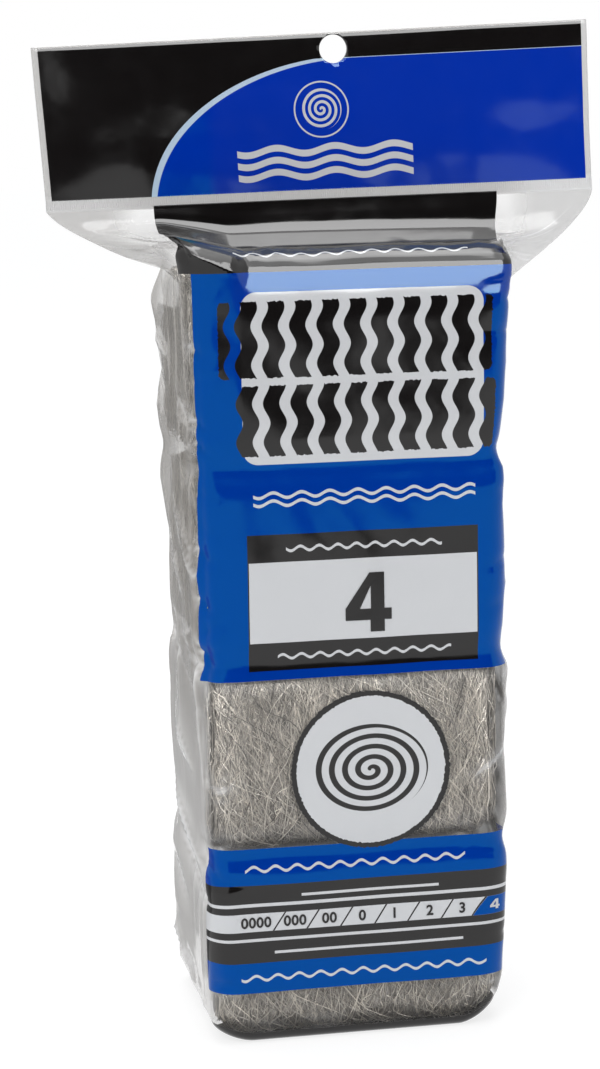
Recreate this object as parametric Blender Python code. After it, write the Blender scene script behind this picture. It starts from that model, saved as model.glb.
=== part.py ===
"""Bagged steel wool pads: flat-rolled pads in rows and layers inside a clear printed film bag.

Metres, +Z up, the front towards -Y. The bag is one tube of film. It stands on its folded bottom, closes
over the pads as a gable with an ear at each side, is pressed flat in a crimped seal, and goes on above
the seal as the two-ply header that it hangs from.
"""

import math

import bpy
import numpy as np

PAD_WIDTH = 0.0920
PAD_DEPTH = 0.0185
PAD_HEIGHT = 0.0617
PAD_ROWS = 4
PAD_LAYERS = 4
PAD_GAP = 0.0003
PAD_SQUARENESS = 0.5
PAD_END_ROUND = 0.0040
RIBBON_THICKNESS = 0.0016
RIBBON_RELIEF = 0.0012
RIBBON_TURNS = 2
RIM_SHARE = 0.1
WOOL_RELIEF = 0.0011
WOOL_RELIEF_PITCH = 0.0168

FILM_WALL = 0.00025
FILM_CLEARANCE = 0.0003
END_CLEARANCE = 0.0009
PLY_GAP = 0.0002
BAG_FLARE = 0.0200
CORNER_ROUND = 0.0050
BOTTOM_ROUND = 0.0040
BOTTOM_SEAM_SHARE = 0.65
FILM_SLACK = 1.022

SHOULDER_DROP = 0.0025
SHOULDER_LIFT = 0.0090
GABLE_RISE = 0.0213
HANGING_LENGTH = 0.0130
EAR_DROP = 0.0015
EAR_REACH = 0.0080
EAR_SQUARE = 0.0015
EAR_LOW_SHARE = 0.8
EAR_AT_CORNER = 0.12
RIGHT_EAR_DROOP = 0.0045
LEFT_EAR_RAISE = 0.0022
SHOULDER_LEAN = 0.0019
SHOULDER_LEAN_REACH = 0.0150

SEAL_HEIGHT = 0.0037
SEAL_GATHER = 0.015
SEAL_TILT = math.radians(0.9)
HEADER_HEIGHT = 0.0491
HEADER_TILT = math.radians(2.0)
HEADER_PUFF = 0.0005
HEADER_BOW = 0.0016
HEADER_BOWS = 0.75
BOW_AT_SEAL = 0.4
HOLE_DIAMETER = 0.0090
HOLE_RIM = 0.0007
HOLE_ASIDE = 0.0060

SEAM_PINCH = 0.0013
SEAM_PINCH_REACH = 0.0060
PINCH_FROM_DEPTH = 0.5
PINCH_FROM_WIDTH = 0.93
SIDE_WRINKLE = 0.0014
SIDE_WRINKLE_PITCH = 0.0470
SIDE_WRINKLE_SLANT = 0.8
SIDE_WRINKLE_PHASE = 0.2
SIDE_WRINKLE_BEAT = 0.37
SIDE_FROM_WIDTH = 0.9
SIDE_TO_DEPTH = 0.93
SIDE_FADE = 0.2
DOG_EAR = 0.0040
DOG_EAR_REACH = 0.0110
DOG_EAR_BELOW_SHOULDER = 0.0110
POCKET = 0.0034
POCKET_REACH = 0.0085
POCKET_ABOVE_SHOULDER = 0.0035

FRONT_STEPS = 3
CORNER_STEPS = 3
SIDE_STEPS = 3
HEADER_STEPS = 3
BOTTOM_SHARES = (0.0, 0.35, 0.75, 1.0)
BOTTOM_TURN_ANGLES = (35, 65)
WALL_SHARES = (0.10, 0.37, 0.63, 0.90, 1.00)
GABLE_SHARES = (0.16, 0.34, 0.54, 0.74, 1.00)
PAD_SIDES = 12
HOLE_SIDES = 24
PAD_END_ANGLES = (90, 48, 0)
SHARP_ANGLE = math.radians(40)

PAD_PITCH_Y = PAD_DEPTH + PAD_GAP
PAD_PITCH_Z = PAD_HEIGHT + PAD_GAP
STACK_DEPTH = PAD_LAYERS * PAD_PITCH_Y - PAD_GAP
STACK_BOTTOM = FILM_WALL + FILM_CLEARANCE
STACK_TOP = STACK_BOTTOM + PAD_ROWS * PAD_PITCH_Z - PAD_GAP
HALF_DEPTH = STACK_DEPTH / 2 + FILM_CLEARANCE + FILM_WALL
HALF_WIDTH_LOW = PAD_WIDTH / 2 + END_CLEARANCE
SHOULDER = STACK_TOP - SHOULDER_DROP
SEAL_BOTTOM = SHOULDER + GABLE_RISE
SEAL_TOP = SEAL_BOTTOM + SEAL_HEIGHT
HEADER_TOP = SEAL_TOP + HEADER_HEIGHT
FLAT_HALF = FILM_WALL + PLY_GAP / 2


def material(name, colour, roughness, metallic, alpha=1.0):
    made = bpy.data.materials.new(name)
    made.use_nodes = True
    shader = made.node_tree.nodes["Principled BSDF"]
    shader.inputs["Base Color"].default_value = (*colour, 1.0)
    shader.inputs["Roughness"].default_value = roughness
    shader.inputs["Metallic"].default_value = metallic
    shader.inputs["Alpha"].default_value = alpha
    return made


def add_object(name, points, faces, finish):
    mesh = bpy.data.meshes.new(name)
    mesh.from_pydata([tuple(point) for point in points], [], faces)
    mesh.materials.append(finish)
    mesh.shade_smooth()
    mesh.set_sharp_from_angle(angle=SHARP_ANGLE)
    made = bpy.data.objects.new(name, mesh)
    bpy.context.scene.collection.objects.link(made)
    return made


def ease(share):
    """Smooth step from 0 to 1."""
    share = np.clip(share, 0, 1)
    return share * share * (3 - 2 * share)


def pad_outline(offset):
    """The pad's section in Y and Z, a superellipse, with its surface moved in by an offset per point."""
    angle = np.arange(len(offset)) * math.tau / PAD_SIDES
    across, up = np.cos(angle), np.sin(angle)
    y = (PAD_DEPTH / 2 - offset) * np.sign(across) * np.abs(across) ** PAD_SQUARENESS
    z = (PAD_HEIGHT / 2 - offset) * np.sign(up) * np.abs(up) ** PAD_SQUARENESS
    return y, z


def pad_end(rim, side):
    """Points and faces of one end of a pad, from its rim inwards.

    The ribbon's edge is a ridge that runs inwards in a spiral, one ribbon thickness a turn, with a groove
    half a thickness inside it. Turn after turn the groove meets the next turn of the ridge, and the last
    turn is closed by one face.
    """
    steps = RIBBON_TURNS * PAD_SIDES
    turns = np.arange(steps + PAD_SIDES + 1) / PAD_SIDES
    ridge = PAD_END_ROUND + (turns + RIM_SHARE) * RIBBON_THICKNESS
    groove = ridge[: steps + 1] + RIBBON_THICKNESS / 2
    points = []
    for offset, sunk in ((ridge, 0.0), (groove, RIBBON_RELIEF)):
        y, z = pad_outline(offset)
        x = np.full(len(offset), side * (PAD_WIDTH / 2 - sunk))
        points.append(np.stack([x, y, z], axis=1))
    first = rim[-1] + 1
    ridge_at = lambda i: first + i
    groove_at = lambda i: first + len(ridge) + i
    faces = []
    for i in range(PAD_SIDES):
        faces.append((rim[i], rim[(i + 1) % PAD_SIDES], ridge_at(i + 1), ridge_at(i)))
    faces.append((ridge_at(PAD_SIDES), rim[0], ridge_at(0), groove_at(0)))
    for i in range(steps):
        faces.append((ridge_at(i), ridge_at(i + 1), groove_at(i + 1), groove_at(i)))
        inner = ridge_at(i + PAD_SIDES)
        faces.append((groove_at(i), groove_at(i + 1), inner + 1, inner))
    faces.append((*range(ridge_at(steps), ridge_at(steps + PAD_SIDES) + 1), groove_at(steps)))
    if side < 0:
        faces = [face[::-1] for face in faces]
    return np.concatenate(points), faces


def pad_loops():
    """Place along X and offset of each loop: the rounded ends, and the hills and hollows of wool between them."""
    ends = []
    for angle in np.radians(PAD_END_ANGLES):
        x = PAD_WIDTH / 2 - PAD_END_ROUND * (1 - math.sin(angle))
        ends.append((x, np.full(PAD_SIDES, PAD_END_ROUND * (1 - math.cos(angle)))))
    flat = PAD_WIDTH / 2 - PAD_END_ROUND
    spans = round(2 * flat / WOOL_RELIEF_PITCH)
    hills = []
    for step in range(1, spans):
        hollow = (np.arange(PAD_SIDES) + step) % 2
        hills.append((flat * (2 * step / spans - 1), WOOL_RELIEF * hollow))
    return [(-x, offset) for x, offset in ends] + hills + ends[::-1]


def pad_mesh():
    """One pad about its own centre: loops of the section along X, then a spiral end on each side."""
    loops = []
    for x, offset in pad_loops():
        y, z = pad_outline(offset)
        loops.append(np.stack([np.full(PAD_SIDES, x), y, z], axis=1))
    points = np.concatenate(loops)
    faces = []
    for row in range(len(loops) - 1):
        for i in range(PAD_SIDES):
            j = (i + 1) % PAD_SIDES
            low, high = row * PAD_SIDES, (row + 1) * PAD_SIDES
            faces.append((low + i, low + j, high + j, high + i))
    last = (len(loops) - 1) * PAD_SIDES
    for start, side in ((0, -1), (last, 1)):
        rim = [start + i for i in range(PAD_SIDES)]
        end_points, end_faces = pad_end(rim, side)
        moved = len(points) - (rim[-1] + 1)
        faces += [tuple(i if i <= rim[-1] else i + moved for i in face) for face in end_faces]
        points = np.concatenate([points, end_points])
    return points, faces


def build_pads(wool):
    points, faces = pad_mesh()
    for row in range(PAD_ROWS):
        for layer in range(PAD_LAYERS):
            y = (layer - (PAD_LAYERS - 1) / 2) * PAD_PITCH_Y
            z = STACK_BOTTOM + PAD_HEIGHT / 2 + row * PAD_PITCH_Z
            pad = add_object(f"wool_pad_row{row + 1}_layer{layer + 1}", points, faces, wool)
            pad.location = (middle_x(), y, z)


def quarter_columns():
    """Shares of the front run, the corner arc and the side run, from the front's middle to the side fold."""
    front = [(i / FRONT_STEPS, 0, 0) for i in range(FRONT_STEPS + 1)]
    corner = [(1, i / CORNER_STEPS, 0) for i in range(1, CORNER_STEPS + 1)]
    side = [(1, 1, i / SIDE_STEPS) for i in range(1, SIDE_STEPS + 1)]
    return np.array(front + corner + side, float).T


def half_width(z):
    return HALF_WIDTH_LOW + BAG_FLARE * z


def section(z, inset, fold):
    """A quarter of the rounded rectangle at height z, as X, Y and length along the film.

    The inset is the distance inside the outer skin, and fold is half the film's thickness where the
    tube is pressed flat.
    """
    front, corner, side = quarter_columns()
    radius = CORNER_ROUND - inset
    run_x = half_width(z) - inset - radius
    run_y = HALF_DEPTH - inset - radius
    angle = corner * math.pi / 2
    x = run_x * front + radius * np.sin(angle)
    y = run_y * (1 - side) + radius * np.cos(angle) + fold * side
    length = run_x * front + radius * angle + run_y * side
    return x, y, length


def ear_share():
    """0 over the front and back of the gable, rising to 1 at the side fold."""
    front, corner, side = quarter_columns()
    at_corner = np.maximum(2 * corner - 1, 0) * EAR_AT_CORNER
    return ease((at_corner + side) / (1 + EAR_AT_CORNER))


def bottom_rows(inset, fold):
    """The bottom panel, from the seam along its middle out to where the film turns up."""
    x, y, _ = section(0.0, inset + BOTTOM_ROUND, fold)
    rows = []
    for share in BOTTOM_SHARES:
        width = BOTTOM_SEAM_SHARE + (1 - BOTTOM_SEAM_SHARE) * share
        rows.append((x * width, fold + (y - fold) * share, np.full_like(x, inset)))
    return rows


def wall_heights():
    """Heights of the loops up the wall: the turn at the bottom, then the same shares of each row of pads."""
    heights = [BOTTOM_ROUND * (1 - math.cos(math.radians(angle))) for angle in BOTTOM_TURN_ANGLES]
    for row in range(PAD_ROWS):
        low = STACK_BOTTOM + row * PAD_PITCH_Z
        low, high = max(low, BOTTOM_ROUND), min(low + PAD_PITCH_Z, SHOULDER)
        heights += [low + (high - low) * share for share in WALL_SHARES]
    return heights


def wall_rows(inset, fold):
    rows = []
    for z in wall_heights():
        rise = min(z / BOTTOM_ROUND, 1.0)
        drawn_in = BOTTOM_ROUND * (1 - math.sqrt(1 - (1 - rise) ** 2))
        x, y, _ = section(z, inset + drawn_in, fold)
        rows.append((x, y, np.full_like(x, max(z, inset * 1.5))))
    return rows


def flat_x(inset):
    """Where each column lies across the tube when it is pressed flat."""
    _, _, length = section(SHOULDER, 0.0, 0.0)
    return length * FILM_SLACK - inset * (length / length[-1]) ** 8


def middle_x():
    """Where the middle of the pads stands, so that the header, tilted and gathered, is centred on X = 0."""
    lean = (HEADER_TOP - SEAL_BOTTOM) * math.sin(HEADER_TILT)
    return (flat_x(0.0)[-1] * SEAL_GATHER + lean) / 2


def gable_rows(inset, fold):
    """Each column climbs a cubic Bezier curve from the shoulder to the seal.

    Columns of the front and back lean in to the middle. Those of the sides swing out into the ears, whose
    lower edge is the side fold.
    """
    x, y, _ = section(SHOULDER, inset, fold)
    ear = ear_share()
    across = flat_x(inset) * (1 - SEAL_GATHER)
    starts = (x, y, SHOULDER - EAR_DROP * ear)
    rising = (x + EAR_REACH * ear, y, SHOULDER + SHOULDER_LIFT * (1 - ear))
    lift = (1 - EAR_LOW_SHARE) * ear
    hanging = (across - EAR_SQUARE * ear, fold + 0 * x, SEAL_BOTTOM - HANGING_LENGTH * (1 - lift))
    ends = (across, fold + 0 * x, SEAL_BOTTOM + 0 * x)
    rows = []
    for share in GABLE_SHARES:
        left = 1 - share
        weights = (left**3, 3 * left**2 * share, 3 * left * share**2, share**3)
        curves = zip(starts, rising, hanging, ends, strict=True)
        row = [sum(weight * part for weight, part in zip(weights, curve, strict=True)) for curve in curves]
        row[2] = row[2] - inset * (1 - 2 * ear) * 3 * share * left
        rows.append(tuple(row))
    return rows


def header_rows(inset, fold):
    """The crimped seal and the header above it, whose plies stand a little apart between their edges."""
    rows = []
    x = flat_x(inset)
    for rise in np.linspace(0, 1, HEADER_STEPS + 1):
        gather = 1 - SEAL_GATHER * (1 - rise)
        puff = HEADER_PUFF * math.sin(math.pi * rise) * (1 - (x / x[-1]) ** 4)
        rows.append((x * gather, fold + puff, np.full_like(x, SEAL_TOP + HEADER_HEIGHT * rise)))
    rows[-1] = (rows[-1][0], rows[-1][1], rows[-1][2] - inset)
    return rows


def all_round(rows):
    """Rows of a quarter, put round the tube: right front, right back, left back, left front."""
    count = len(rows[0][0])
    quarter = np.arange(count)
    index = np.concatenate([quarter, quarter[::-1], quarter[1:], quarter[:0:-1]])
    right = np.concatenate([np.ones(2 * count), -np.ones(2 * count - 2)])
    back = np.concatenate([-np.ones(count), np.ones(2 * count - 1), -np.ones(count - 1)])
    x, y, z = (np.array([row[axis][index] for row in rows]) for axis in range(3))
    return np.stack([x * right, y * back, z], axis=2)


def crumple(points, skin):
    """The film's own folds, worked out on the outer skin and given to both skins alike.

    The corners and faces are drawn in where two rows of pads meet, the sides stand out in slanting
    wrinkles, the upper back corners stand out as dog ears, and the right front corner as a pocket. The
    front and back lean in below the gable, and the right ear hangs lower than the left.
    """
    x, y, z = skin[..., 0], skin[..., 1], skin[..., 2]
    off_gable = ease(2 * (SEAL_BOTTOM - HANGING_LENGTH - z) / GABLE_RISE)
    on_wall = ease((z - BOTTOM_ROUND) / BOTTOM_ROUND) * off_gable
    width = half_width(np.minimum(z, SHOULDER))
    flat = flat_x(0.0)[-1]
    shift = np.zeros_like(points)

    inward = np.zeros_like(z)
    for row in range(1, PAD_ROWS):
        seam = STACK_BOTTOM + row * PAD_PITCH_Z - PAD_GAP / 2
        inward += SEAM_PINCH * np.exp(-(((z - seam) / SEAM_PINCH_REACH) ** 2))
    inward *= ease((np.abs(y) / HALF_DEPTH - PINCH_FROM_DEPTH) * 4) * on_wall
    shift[..., 0] -= np.sign(x) * inward * (np.abs(x) / width > PINCH_FROM_WIDTH)
    lean = np.clip((z - SHOULDER) / SHOULDER_LEAN_REACH + 1, 0, 1) ** 2 * np.abs(y) / HALF_DEPTH
    shift[..., 1] -= np.sign(y) * (inward + SHOULDER_LEAN * lean)

    over_side = ease((np.abs(x) / width - SIDE_FROM_WIDTH) / (1 - SIDE_FROM_WIDTH))
    at_side = over_side * ease((SIDE_TO_DEPTH - np.abs(y) / HALF_DEPTH) / SIDE_FADE)
    phase = (z + np.sign(x) * y * SIDE_WRINKLE_SLANT) / SIDE_WRINKLE_PITCH + np.sign(x) * SIDE_WRINKLE_PHASE
    wave = (1 + np.sin(math.tau * phase) * np.cos(SIDE_WRINKLE_BEAT * math.tau * phase)) / 2
    shift[..., 0] += np.sign(x) * SIDE_WRINKLE * wave * at_side * on_wall

    away = (z - SHOULDER + DOG_EAR_BELOW_SHOULDER) ** 2 + (np.abs(x) - width) ** 2 + (y - HALF_DEPTH) ** 2
    shift[..., 0] += np.sign(x) * DOG_EAR * np.exp(-away / DOG_EAR_REACH**2) * on_wall
    away = (z - SHOULDER - POCKET_ABOVE_SHOULDER) ** 2 + (x - width) ** 2 + (y + HALF_DEPTH) ** 2
    shift[..., 0] += POCKET * np.exp(-away / POCKET_REACH**2)

    along_ear = np.clip((np.abs(x) - width) / (flat - width), 0, 1)
    under_seal = ease((SEAL_BOTTOM - z) / HANGING_LENGTH)
    droop = np.where(x > 0, RIGHT_EAR_DROOP, -LEFT_EAR_RAISE)
    shift[..., 2] -= droop * np.sin(math.pi * along_ear) * under_seal

    moved = points + shift
    rise = np.clip((z - SEAL_BOTTOM) / (HEADER_TOP - SEAL_BOTTOM), 0, 1)
    hang = ease((z - SEAL_BOTTOM + HANGING_LENGTH) / HANGING_LENGTH)
    tilt = SEAL_TILT + (HEADER_TILT - SEAL_TILT) * rise
    height = moved[..., 2] - SEAL_BOTTOM
    moved[..., 2] += hang * moved[..., 0] * np.sin(tilt)
    moved[..., 0] -= np.maximum(height, 0) * np.sin(HEADER_TILT)
    bow = HEADER_BOW * np.cos(math.tau * HEADER_BOWS * moved[..., 0] / flat)
    moved[..., 1] += hang * bow * (BOW_AT_SEAL + rise)
    moved[..., 0] += middle_x()
    return moved


def tube_faces(row_count, column_count, first):
    """Triangles round and up a tube, closed at both ends by quads from its front half to its back half.

    Both skins, and the front and back plies, are cut along the same diagonals, so that they stay one wall
    apart where a quad is warped.
    """
    at = lambda row, column: first + row * column_count + column % column_count
    quarter = (column_count - 2) // 4
    faces = []
    for row in range(row_count - 1):
        for column in range(column_count):
            low, next_low = at(row, column), at(row, column + 1)
            high, next_high = at(row + 1, column), at(row + 1, column + 1)
            if quarter < column <= 3 * quarter:
                faces += [(low, next_low, high), (next_low, next_high, high)]
            else:
                faces += [(low, next_low, next_high), (low, next_high, high)]
    middle_back = 2 * quarter + 1
    for row, flip in ((0, True), (row_count - 1, False)):
        for step in range(-quarter, quarter):
            front, back = at(row, step), at(row, middle_back - step)
            face = (front, at(row, step + 1), at(row, middle_back - step - 1), back)
            faces.append(face[::-1] if flip else face)
    return faces


def build_bag(film):
    skins = []
    for inset in (0.0, FILM_WALL):
        fold = FLAT_HALF - inset
        rows = bottom_rows(inset, fold) + wall_rows(inset, fold)
        rows += gable_rows(inset, fold) + header_rows(inset, fold)
        skins.append(all_round(rows))
    row_count, column_count = skins[0].shape[:2]
    points, faces = [], []
    for number, skin in enumerate(skins):
        moved = crumple(skin, skins[0])
        round_it = tube_faces(row_count, column_count, number * row_count * column_count)
        points.append(moved.reshape(-1, 3))
        faces += round_it if number == 0 else [face[::-1] for face in round_it]
    bag = add_object("film_bag", np.concatenate(points), faces, film)
    punch_hang_hole(bag)


def punch_hang_hole(bag):
    """A round hole through both plies, close under the header's top edge."""
    drop = HOLE_RIM + HOLE_DIAMETER / 2
    rise = HEADER_TOP - SEAL_BOTTOM - drop
    x = middle_x() + HOLE_ASIDE - rise * math.sin(HEADER_TILT)
    z = HEADER_TOP - drop + HOLE_ASIDE * math.sin(HEADER_TILT)
    sides = HOLE_SIDES
    angle = np.arange(sides) * math.tau / sides
    reach = HEADER_BOW * 4
    points = []
    for y in (-reach, reach):
        ring = [x + HOLE_DIAMETER / 2 * np.cos(angle), 0 * angle + y, z + HOLE_DIAMETER / 2 * np.sin(angle)]
        points.append(np.stack(ring, axis=1))
    faces = [(sides + i, sides + (i + 1) % sides, (i + 1) % sides, i) for i in range(sides)]
    faces += [tuple(range(sides)), tuple(range(2 * sides - 1, sides - 1, -1))]
    cutter = add_object("hang_hole_cutter", np.concatenate(points), faces, bag.data.materials[0])
    cutter.hide_render = True
    cutter.display_type = "WIRE"
    punch = bag.modifiers.new("hang hole", "BOOLEAN")
    punch.object = cutter
    punch.operation = "DIFFERENCE"


def main():
    for old in list(bpy.data.objects):
        bpy.data.objects.remove(old, do_unlink=True)
    wool = material("steel_wool", (0.33, 0.31, 0.29), 0.45, 0.85)
    film = material("printed_clear_film", (0.55, 0.60, 0.68), 0.12, 0.0, 0.35)
    build_pads(wool)
    build_bag(film)


main()
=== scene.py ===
"""Bagged steel wool pads: the looks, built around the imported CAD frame. Metres, +Z up, front towards -Y."""

import math
from functools import partial

import bmesh
import bpy
import numpy as np
from mathutils import Matrix, Vector


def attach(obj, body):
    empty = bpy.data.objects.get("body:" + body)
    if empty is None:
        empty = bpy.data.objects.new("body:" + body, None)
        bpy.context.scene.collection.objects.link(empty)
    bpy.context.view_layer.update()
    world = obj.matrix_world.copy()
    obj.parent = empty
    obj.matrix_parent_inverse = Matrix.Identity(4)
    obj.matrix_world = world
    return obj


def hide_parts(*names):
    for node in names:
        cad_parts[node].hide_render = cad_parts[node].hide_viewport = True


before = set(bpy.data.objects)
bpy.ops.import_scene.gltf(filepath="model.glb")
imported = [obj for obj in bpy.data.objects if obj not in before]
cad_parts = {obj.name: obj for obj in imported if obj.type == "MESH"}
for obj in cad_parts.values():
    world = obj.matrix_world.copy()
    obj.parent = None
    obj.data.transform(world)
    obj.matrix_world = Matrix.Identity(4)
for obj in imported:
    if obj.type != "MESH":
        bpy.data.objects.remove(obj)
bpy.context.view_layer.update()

# Steel wool pads. Each is one ribbon of coarse steel wool rolled flat, so its strands run up the front and
# back, over the top and bottom, and lie in nested turns at both ends. Four rows of four stand in the bag, held
# by nothing but the film round them.
pad_half = np.array([0.0457, 0.0091, 0.03075])
pad_pitch_y, pad_pitch_z = 0.0188, 0.0620
first_pad_z = 0.0314
stack_middle_x = 0.00159
pad_end_round = 0.0070
pad_squareness = 0.5
ribbon_pitch = 0.0024
ribbon_groove, innermost, end_taper, end_height_share = 0.0010, 0.93, 0.8, 0.9
hill_height, hill_sides, hill_spans, hill_end = 0.0011, 12, 5, 0.0040
base_depth, base_roughness, base_tone = 0.0014, 0.00012, 0.26
strand_depth, strand_lift, strand_crimp, edge_room = 0.0013, 0.0011, 0.0002, 0.0012
end_strand_depth, end_strand_inset, end_strand_reach = 0.0012, 0.0030, 0.64
rise_from, rise_reach, rise_height, rise_right, rise_left = 0.0339, 0.013, 0.016, 0.0045, 0.0030
fine_steps, table_steps, pad_sides = 4001, 801, 48


def table_of_outline():
    """The superellipse |y|^4 + |z|^4 = 1 scaled to the pad, walked by arc length: share, y, z and normals."""
    angle = np.linspace(0, math.tau, fine_steps)
    y = pad_half[1] * np.sign(np.cos(angle)) * np.abs(np.cos(angle)) ** pad_squareness
    z = pad_half[2] * np.sign(np.sin(angle)) * np.abs(np.sin(angle)) ** pad_squareness
    walked = np.concatenate([[0], np.cumsum(np.hypot(np.diff(y), np.diff(z)))])
    share = np.linspace(0, 1, table_steps)
    y, z = (np.interp(share * walked[-1], walked, line) for line in (y, z))
    slope_y, slope_z = np.gradient(y), np.gradient(z)
    length = np.hypot(slope_y, slope_z)
    return share, y, z, slope_z / length, -slope_y / length, walked[-1]


outline_share, outline_y, outline_z, outline_ny, outline_nz, outline_length = table_of_outline()


def on_outline(turn):
    """Place and outward normal on the pad's section, a share of the way round from its back."""
    turn = turn % 1.0
    lines = (outline_y, outline_z, outline_ny, outline_nz)
    return [np.interp(turn, outline_share, line) for line in lines]


def hills(x, y, z):
    """The hills and hollows of packed wool: h (1 - cos(pi i) cos(pi k)) / 2 over sides i and spans k."""
    flat = pad_half[0] - hill_end
    angle = np.arctan2(np.sign(z) * np.abs(z / pad_half[2]) ** 2, np.sign(y) * np.abs(y / pad_half[1]) ** 2)
    across = hill_sides * angle / math.tau
    along = hill_spans * (x / flat + 1) / 2
    fade = np.clip((flat - np.abs(x)) * hill_spans / (2 * flat), 0, 1)
    return hill_height * 0.5 * (1 - np.cos(math.pi * across) * np.cos(math.pi * along)) * fade


def on_pad(x, turn, depth):
    """A point of the pad's round: towards each end the section shrinks as a quarter circle."""
    past = np.clip((np.abs(x) - pad_half[0] + pad_end_round) / pad_end_round, 0, 1)
    drawn_in = pad_end_round * (1 - np.sqrt(1 - past**2)) * end_taper
    y, z, ny, nz = on_outline(turn)
    sunk = depth + drawn_in + hills(x, y, z)
    point = np.stack([x, y * (1 - sunk / pad_half[1]), z * (1 - sunk / pad_half[2])], axis=-1)
    return point, np.stack([0 * x, ny, nz], axis=-1)


def on_pad_end(side, turn, inset, depth):
    """A point of the pad's end: nested turns of the ribbon's edge, with a groove between two turns."""
    y, z, _, _ = on_outline(turn)
    groove = ribbon_groove * (0.5 + 0.5 * np.cos(math.tau * (inset / ribbon_pitch - turn)))
    x = side * (pad_half[0] - depth - groove + 0 * y)
    sunk = np.minimum(inset, pad_half[1] * innermost)
    y, z = y * (1 - sunk / pad_half[1]), z * (1 - sunk / pad_half[2] * end_height_share)
    point = np.stack([x, y, z], axis=-1)
    return point, np.stack([side + 0 * y, 0 * y, 0 * y], axis=-1)


def corner_rise(x, z):
    """How far the bag's bottom corners are turned up, with the wool in them: more at the right."""
    outwards = np.clip((np.abs(x) - rise_from) / rise_reach, 0, 1)
    upwards = np.clip((rise_height - z) / rise_height, 0, 1)
    smooth = outwards**2 * (3 - 2 * outwards) * upwards**2 * (3 - 2 * upwards)
    return np.where(x > 0, rise_right, rise_left) * smooth


def strands_of(centre, normal, radius):
    """Closed three-sided strands about centre lines (strand, step, xyz), tapered at both tips."""
    count, steps = centre.shape[:2]
    along = np.gradient(centre, axis=1)
    along /= np.linalg.norm(along, axis=2, keepdims=True) + 1e-12
    across = np.cross(along, normal)
    across /= np.linalg.norm(across, axis=2, keepdims=True) + 1e-12
    outward = np.cross(across, along)
    share = np.linspace(0, 1, steps)
    taper = np.clip(np.sin(math.pi * share) * 4, 0.12, 1)
    thick = radius[:, None] * taper
    rings = []
    for corner in range(3):
        angle = math.pi / 2 + corner * math.tau / 3
        spoke = math.cos(angle) * across + math.sin(angle) * outward
        rings.append(centre + spoke * thick[..., None])
    points = np.stack(rings, axis=2).reshape(-1, 3)
    number = np.arange(count * steps * 3).reshape(count, steps, 3)
    here, there = number[:, :-1], number[:, 1:]
    quads = np.stack([here, np.roll(here, -1, 2), np.roll(there, -1, 2), there], axis=-1).reshape(-1, 4)
    tips = np.concatenate([number[:, 0, ::-1], number[:, -1]]).reshape(-1, 3)
    return points, quads, tips


def put(name, data):
    """A new object in the scene."""
    made = bpy.data.objects.new(name, data)
    bpy.context.scene.collection.objects.link(made)
    return made


def mesh_of(name, points, quads, triangles, tones=None):
    """Puts arrays of points, quads and triangles into one mesh, with a tone for each point."""
    mesh = bpy.data.meshes.new(name)
    mesh.vertices.add(len(points))
    mesh.vertices.foreach_set("co", np.asarray(points, np.float32).ravel())
    corners = np.concatenate([np.ravel(quads), np.ravel(triangles)]).astype(np.int32)
    sizes = np.concatenate([np.full(len(quads), 4), np.full(len(triangles), 3)])
    mesh.loops.add(len(corners))
    mesh.loops.foreach_set("vertex_index", corners)
    mesh.polygons.add(len(sizes))
    mesh.polygons.foreach_set("loop_start", (np.cumsum(sizes) - sizes).astype(np.int32))
    mesh.polygons.foreach_set("loop_total", sizes.astype(np.int32))
    mesh.update(calc_edges=True)
    mesh.validate()
    mesh.shade_smooth()
    if tones is not None:
        attribute = mesh.attributes.new("tone", "FLOAT", "POINT")
        attribute.data.foreach_set("value", np.asarray(tones, np.float32))
    return put(name, mesh)


def pad_base(random):
    """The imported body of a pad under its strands: round and both ends on one grid, closed by two fans."""
    turns = np.arange(pad_sides) / pad_sides
    spans = np.concatenate([np.linspace(-1, -0.85, 5), np.linspace(-0.8, 0.8, 21), np.linspace(0.85, 1, 5)])
    start = 0.0004
    inside = np.linspace(start, pad_half[1] * innermost, 10)
    tapered = pad_end_round * end_taper
    rows = [on_pad_end(-1, turns, inset + tapered, base_depth)[0] for inset in inside[::-1]]
    rows += [on_pad(span * (pad_half[0] - start) + 0 * turns, turns, base_depth)[0] for span in spans]
    rows += [on_pad_end(1, turns, inset + tapered, base_depth)[0] for inset in inside]
    grid = np.array(rows)
    grid += random.normal(0, base_roughness, grid.shape)
    count, sides = grid.shape[:2]
    number = np.arange(count * sides).reshape(count, sides)
    low, high = number[:-1], number[1:]
    quads = np.stack([low, np.roll(low, -1, 1), np.roll(high, -1, 1), high], axis=-1).reshape(-1, 4)[:, ::-1]
    first, last = number[0], number[-1]
    middles = count * sides + np.arange(2)
    fans = [
        np.stack([0 * first + middles[0], np.roll(first, -1), first], axis=1)[:, ::-1],
        np.stack([0 * last + middles[1], last, np.roll(last, -1)], axis=1)[:, ::-1],
    ]
    points = np.concatenate([grid.reshape(-1, 3), grid[[0, -1]].mean(axis=1)])
    tones = base_tone + random.uniform(-0.10, 0.12, len(points))
    return points, quads, np.concatenate(fans), tones


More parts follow.
